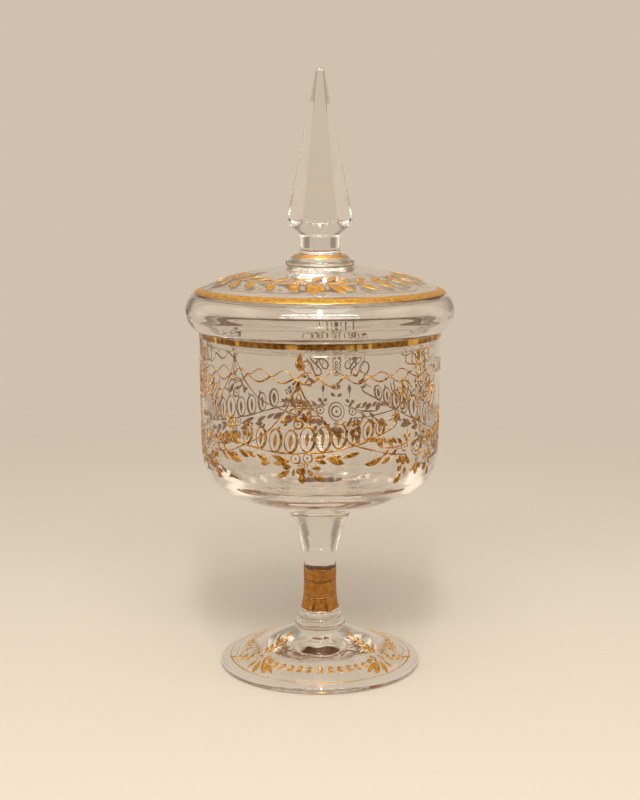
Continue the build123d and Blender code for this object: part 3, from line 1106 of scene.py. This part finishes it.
def flower(brush, x, z, r):
    """Five petals round a dot."""
    for k in range(5):
        a = (k + 0.25) * TURN / 5
        out = (x + r * math.cos(a), z + r * math.sin(a))
        brush.leaf((x + 0.35 * r * math.cos(a), z + 0.35 * r * math.sin(a)), out, 0.68 * r, 0, 0.8, 8)
    brush.dot(x, z, 0.22 * r)


def upright_panel(brush, axis):
    """The upright motif: a scalloped drape, a flower, tall wavy loops, a heart, and a double rosette."""
    brush.origin = (axis, swag_z)
    for half, top, low in ((11.5, 52.2, 42.8), (6.2, 52.0, 42.2)):
        loop = [(half, top), (half * 0.86, top - 4), (half * 0.9, low + 2.4), (half * 0.45, low + 0.3)]
        brush.line([(-x, z) for x, z in loop] + [(0, low)] + loop[::-1], 0.65)
    brush.leaf((0, 43.4), (0, 50.8), 2.8, 0)
    brush.line([(0.4, 43.0), (2.8, 46.8), (2.2, 49.6), (0.8, 47.2)], 0.6)
    brush.line([(-0.4, 43.0), (-2.8, 46.8), (-2.2, 49.6), (-0.8, 47.2)], 0.6)
    brush.eye(0, 39.8, 2.2, 0.7, 1.2)
    flower(brush, 0, 33.2, 3.4)
    fall = np.linspace(0, 1, 13)
    for side in (1, -1):
        for top, low, end in ((2.2, 2.0, 21.5), (8.0, 9.6, 22.0), (12.6, 11.8, 23.5), (18.2, 13.8, 22.0)):
            z = 35.8 + (end - 35.8) * fall
            x = top + (low - top) * fall**2 + 0.5 * np.sin(z * 1.9 + top)
            brush.line(np.stack([side * x, z], 1), 0.6)
        scallop = ((9.6, 22.0), (10.4, 20.4), (12.6, 20.3), (13.8, 22.0))
        brush.line([(side * x, z) for x, z in scallop], 0.7)
    brush.line([(-2.0, 21.6), (-1.2, 20.3), (0, 20.0), (1.2, 20.3), (2.0, 21.6)], 0.6)
    for z in (22.0, 24.0, 26.0, 28.0):
        brush.ring(0, z, 0.95, 0.8, 0.45)
    for side in (1, -1):
        brush.leaf((side * 0.3, 11.8), (side * 2.6, 14.6), 3.0, 30 * side, 0.9)
        brush.leaf((side * 0.4, 8.0), (side * 3.4, 9.8), 2.1)
        brush.leaf((side * 8.1, 9.4), (side * 8.0, 15.2), 2.0, 0, 0.9)
        brush.line([(side * 8.1, 7.0), (side * 8.1, 9.8)], 0.5)
        brush.leaf((side * 8.3, 5.0), (side * 5.6, 6.6), 2.2)
        brush.leaf((side * 8.5, 5.0), (side * 11.2, 6.4), 2.2)
        brush.eye(side * 9.9, 0.0, 2.2)
        brush.leaf((side * 9.0, -3.2), (side * 8.6, -7.2), 1.9)
        for rib in (((12, 2.2), (20, 3.4), (28, 4.4), (36, 5.6)), ((12, -0.6), (18, 0.2), (24, 0.6))):
            brush.line([(side * x, z) for x, z in rib], 0.5)
        for k in range(3):
            x, z = 15.5 + 6.4 * k, 2.9 + 0.8 * k
            brush.leaf((side * x, z), (side * (x + 3.4), z + 3.2), 1.9, -12 * side)
            brush.leaf((side * (x + 2.2), z), (side * (x + 5.8), z + 2.7), 1.8, -12 * side)
        for k in range(2):
            x, z = 15.0 + 5.5 * k, -0.2 + 0.3 * k
            brush.leaf((side * x, z), (side * (x + 3.6), z - 3.4), 2.0, 12 * side)
    brush.ring(0, -0.6, 4.7, 5.3, 0.65)
    brush.ring(0, -0.6, 3.0, 3.1, 0.95)
    brush.dot(0, -0.6, 0.8)
    brush.eye(0, -8.0, 1.3, 0.5)
    brush.leaves((-0.5, -9.6, -4.6, -13.4, 2.3), (0, -9.8, 0, -16.6, 3.0), (0.5, -9.6, 4.6, -13.4, 2.3))


def left_posy(brush, axis):
    """A small yellow posy where the garland leaves the swag on its left."""
    brush.origin = (axis, swag_z)
    flower(brush, -42.4, 13.0, 3.3)
    flower(brush, -39.2, 11.6, 2.2)
    brush.dot(-46.6, 5.2, 1.1)
    brush.leaves(
        (-41.8, 10.2, -41.6, 3.6, 2.3), (-38.4, 4.6, -36.0, 1.8, 2.0), (-44.4, 17.6, -42.6, 15.2, 1.4),
    )


def paint_bowl():
    """Three swag motifs and three upright motifs, a sixth of the way round from each other."""
    sixth = paint_round / 6
    front = -10.2
    border = Brush(on_bowl)
    chain(border)
    border.make("bowl_chain_gold", gold_paint, "jar")
    swags = Brush(on_bowl)
    uprights = Brush(on_bowl)
    posies = Brush(on_bowl, 0.16)
    for k in range(3):
        swag_panel(swags, front + 2 * k * sixth)
        left_posy(posies, front + 2 * k * sixth)
        upright = front + (2 * k + 1) * sixth
        upright_panel(uprights, upright)
        side_drop(uprights, upright, 1)
        side_drop(uprights, upright, -1)
    swags.make("bowl_swag_gold", gold_paint, "jar")
    uprights.make("bowl_upright_gold", gold_paint, "jar")
    posies.make("bowl_posy_gold", gold_bright, "jar")


def plan(radius, degrees):
    """A place in plan at a radius, with 0 at the front."""
    a = math.radians(degrees)
    return np.array([radius * math.sin(a), -radius * math.cos(a)])


def plan_curve(radius, turn):
    """Places in plan at a radius for each turn from the front, in radians."""
    return np.stack([radius * np.sin(turn), -radius * np.cos(turn)], 1)


def paint_lid():
    """A laurel wreath that runs once round the dome, with a broad bow at the front."""
    brush = Brush(on_cap(lid_side[roll_points - 1 :]), 0.15)
    count = 25
    step = 360 / count
    turn = np.radians(np.linspace(4, 352, 150))
    rib = 46.6
    facing_lens = 0.5 + 0.5 * np.abs(np.cos(turn))
    press = 0.8 + 0.15 * np.sin(turn * 9)
    brush.stroke(plan_curve(rib + 0.6 * np.sin(turn * count), turn), facing_lens * press)
    for k in range(count):
        a = 8 + step * (k + 0.1) + brush.shake.uniform(-1.2, 1.2)
        if a > 354:
            continue
        facing = a - 360 if a > 180 else a
        full = 0.9 if facing < 0 else 0.45
        lean = 40 + 6 * math.sin(3 * k)
        start = plan(rib, a)
        tip = start + plan(12.6 + 0.8 * math.sin(2 * k), a + lean)
        brush.leaf(start, tip, 5.6 if facing < 0 else 4.6, -14, full, 13)
        inner = start + plan(10.5, a + 180 - lean - 4)
        brush.leaf(start + plan(1.5, a + 90), inner, 4.2, 14, 0.6, 12)
    for start, tip, width, bend in (
        (plan(45.8, -8), plan(60.2, -2.5), 7.4, 10), (plan(46.0, -1), plan(58.6, 1.5), 5.6, -8),
        (plan(46.4, 4), plan(59.4, 13), 4.8, -16), (plan(45.6, -6), plan(36.5, 2), 4.6, 12),
        (plan(45.8, 5), plan(36.5, 12), 4.4, 12), (plan(46.4, -14), plan(57.0, -14.5), 5.2, 12),
    ):
        brush.leaf(start, tip, width, bend, 0.8, 12)
    brush.make("lid_wreath_gold", gold_bright, "lid")


def leafy_twig(brush, start, tip, pairs, size, last=1.3):
    """A thin twig with pairs of leaves that grow shorter towards a last leaf at its tip."""
    a, b = np.array(start, float), np.array(tip, float)
    along = (b - a) / np.linalg.norm(b - a)
    across = np.array([along[1], -along[0]])
    brush.line([a, (a + b) / 2 + across * 0.3, b], 0.5)
    for k in range(pairs):
        node = a + (b - a) * (k + 0.35) / pairs
        length = size * (1 - 0.08 * k)
        for side in (1, -1):
            end = node + along * length * 0.8 + across * side * length * 0.62
            brush.leaf(node, end, length * 0.4, 10 * side)
    brush.leaf(b - along * 0.5, b + along * size * last, size * 0.46)


def foot_spray(brush, centre):
    """A long leafy twig towards the stem, a fan towards the rim, and shorter twigs along the foot."""
    side = -1 if centre < 0 else 1
    heart = plan(39.2, centre)
    brush.eye(*heart, 1.6, 0.7)
    leafy_twig(brush, plan(37.0, centre), plan(23.0, centre + side * 3), 4, 5.6, 1.25)
    fan = ((48.6, -19, 3.0), (50.2, -11, 3.2), (48.8, -3, 2.6), (46.4, -24, 2.6))
    for k, (r, turn, width) in enumerate(fan):
        start = plan(40.6, centre + side * (turn * 0.35))
        brush.leaf(start, plan(r, centre + side * turn), width, 8 - 4 * k)
    leafy_twig(brush, plan(40.6, centre + side * 3), plan(47.6, centre + side * 19), 3, 4.4)
    leafy_twig(brush, plan(38.2, centre + side * 4), plan(37.6, centre + side * 38), 6, 4.0)
    leafy_twig(brush, plan(38.6, centre - side * 3), plan(38.4, centre - side * 9), 1, 4.4)
    for k in range(4):
        for row in range(2):
            brush.dot(*plan(43.4 + 2.6 * row, centre + side * (8 + 4.6 * k + 2 * row)), 0.6)


def paint_foot():
    """Three leafy sprays on the foot, joined by a chain of small paired scrolls, inside a thin line."""
    brush = Brush(on_cap(foot_slope()), 0.14)
    for centre in (-58, 58, 180):
        foot_spray(brush, centre)
    for gap, scrolls in ((0, 6), (119, 5), (-119, 5)):
        for k in range(-scrolls, scrolls + 1):
            a = gap + 7.2 * k
            if k == 0:
                brush.ring(*plan(42.0, a), 1.1, 1.1, 0.7)
                brush.ring(*plan(39.6, a), 1.2, 1.2, 0.7)
                continue
            away = 1 if k > 0 else -1
            turn = away * 3.0
            outer, inner = plan(43.0, a + turn * 0.7), plan(38.2, a + turn * 0.6)
            brush.leaf(plan(40.9, a - turn * 0.7), outer, 2.2, away * 60, 0.9)
            brush.leaf(plan(40.3, a - turn * 0.7), inner, 2.0, -away * 60, 0.9)
            brush.line([outer, plan(41.6, a + turn * 1.2), plan(40.8, a + turn * 0.5)], 0.7)
            brush.line([inner, plan(39.4, a + turn * 1.2), plan(40.3, a + turn * 0.5)], 0.7)
    around = np.radians(np.arange(0, 360, 1.5))
    half = 0.30 + 0.08 * np.sin(5 * around + 1) + 0.04 * np.sin(17 * around)
    brush.stroke(plan_curve(50.4, around), half, closed=True)
    brush.make("foot_wreath_gold", gold_bright, "jar")


make_foot()
bead("foot_collar_glass", "foot_collar", collar_radius, collar_low, collar_high, foot_joint, collar_joint)
bead("stem_ring_glass", "stem_ring", ring_radius, ring_low, ring_high, collar_joint, stem_joint)
make_stem()
make_stem_gilding()
make_bowl()
make_rim_gilding()
make_lid()
make_edge_gilding()
make_knop()
make_knop_gilding()
make_spire()
paint_bowl()
paint_lid()
paint_foot()


# Studio: a plain pale floor and backdrop, soft lamps, and the camera

backdrop = colour(208, 193, 174)


def studio_floor():
    """A matt round floor. Away from the jar it fades into the plain backdrop, so no horizon shows. Seen
    through the glass it is at least half a plain glow: painted light, in place of the light that the glass
    lets through onto it.
    """
    f = Finish("floor")
    x = f.split(f.place, "X")
    y = f.split(f.place, "Y")
    away = ((x * x + y * y) ** 0.5).stepped(0.16, 0.95)
    seen, through, mirrored = f.rays()
    matt = f.node("ShaderNodeBsdfDiffuse", {}, {"Color": backdrop})
    plain = f.node("ShaderNodeEmission", {}, {"Color": backdrop, "Strength": 1.0})
    # Painted light: seen through the glass, the floor glows with the backdrop colour, half of it next to
    # the jar and all of it further away.
    share = (away * seen + through * (away * 0.5 + 0.5) + mirrored).clamped()
    f.end_with("ShaderNodeOutputMaterial", f.node("ShaderNodeMixShader", {}, {0: share, 1: matt, 2: plain}))
    mesh = bpy.data.meshes.new("floor")
    a = np.arange(96) * TURN / 96
    edge = np.stack([1.6 * np.cos(a), 1.6 * np.sin(a), 0 * a], 1)
    mesh.from_pydata(edge.tolist(), [], [list(range(96))])
    mesh.materials.append(f.material)
    floor = bpy.data.objects.new("floor", mesh)
    bpy.context.scene.collection.objects.link(floor)


def studio_world():
    """A plain backdrop ahead, brighter overhead and dim behind the lens. Matt things get an even light."""
    world = bpy.data.worlds.new("studio")
    bpy.context.scene.world = world
    world.use_nodes = True
    f = Nodes(world.node_tree)
    toward = f.node("ShaderNodeTexCoord", output="Generated")
    aside = f.split(toward, "X").maths("ABSOLUTE")
    behind = 0.0 - f.split(toward, "Y")
    up = f.split(toward, "Z")
    seen, through, mirrored = f.rays()
    overhead = up.stepped(0.35, 0.8) * 0.35
    shade = aside.stepped(0.3, 0.42) * (1.0 - aside.stepped(0.56, 0.7)) * 0.5
    box = aside.stepped(0.74, 0.8) * (1.0 - aside.stepped(0.93, 0.97)) * 0.9
    behind_lens = behind.stepped(-0.3, 0.8) * (1.0 - up.stepped(0.1, 0.6)) * 0.5
    ring = up.stepped(0.5, 0.58) * (1.0 - up.stepped(0.72, 0.8)) * behind.stepped(-0.3, 0.1)
    lit = f.node("ShaderNodeBackground", {}, {"Color": (0.66, 0.65, 0.63, 1), "Strength": 1.0})
    shaped = (overhead - shade + box - behind_lens) * (through + mirrored).clamped()
    level = 1.0 + shaped + ring * mirrored * 1.8
    plain = f.node("ShaderNodeBackground", {}, {"Color": backdrop, "Strength": level})
    mix = f.node("ShaderNodeMixShader", {}, {0: (seen + through + mirrored).clamped(), 1: lit, 2: plain})
    f.end_with("ShaderNodeOutputWorld", mix)


def soft_lamp(name, place, aim, width, height, power):
    """A white oblong lamp at a place that shines towards aim."""
    light = bpy.data.lights.new(name, "AREA")
    light.shape = "RECTANGLE"
    light.size = width
    light.size_y = height
    light.energy = power
    lamp = bpy.data.objects.new(name, light)
    lamp.location = place
    lamp.rotation_euler = (Vector(aim) - Vector(place)).to_track_quat("-Z", "Y").to_euler()
    bpy.context.scene.collection.objects.link(lamp)


studio_floor()
studio_world()
soft_lamp("top_box", (0, -0.6, 1.6), (0, 0, 0.15), 1.0, 1.0, 6)
soft_lamp("long_strip", (0, -1.25, 1.15), (0, 0, 0.2), 1.7, 0.16, 14)
soft_lamp("front_strip", (0.01, -0.95, 1.25), (0, 0, 0.15), 0.07, 0.8, 8)

# The camera stands 816 mm before the jar, level with the middle of the spire, and looks down by 9.5 degrees

lens = bpy.data.cameras.new("camera")
lens.lens = 67.5
lens.sensor_width = 36
lens.clip_start = 0.01
camera = bpy.data.objects.new("camera", lens)
camera.location = (0, -0.816, 0.2865)
camera.rotation_euler = (math.radians(90 - 9.5), 0, 0)
bpy.context.scene.collection.objects.link(camera)
bpy.context.scene.camera = camera

scene = bpy.context.scene
scene.view_settings.view_transform = "Standard"
scene.cycles.max_bounces = 48
scene.cycles.transmission_bounces = 40
scene.cycles.glossy_bounces = 40
scene.cycles.transparent_max_bounces = 24
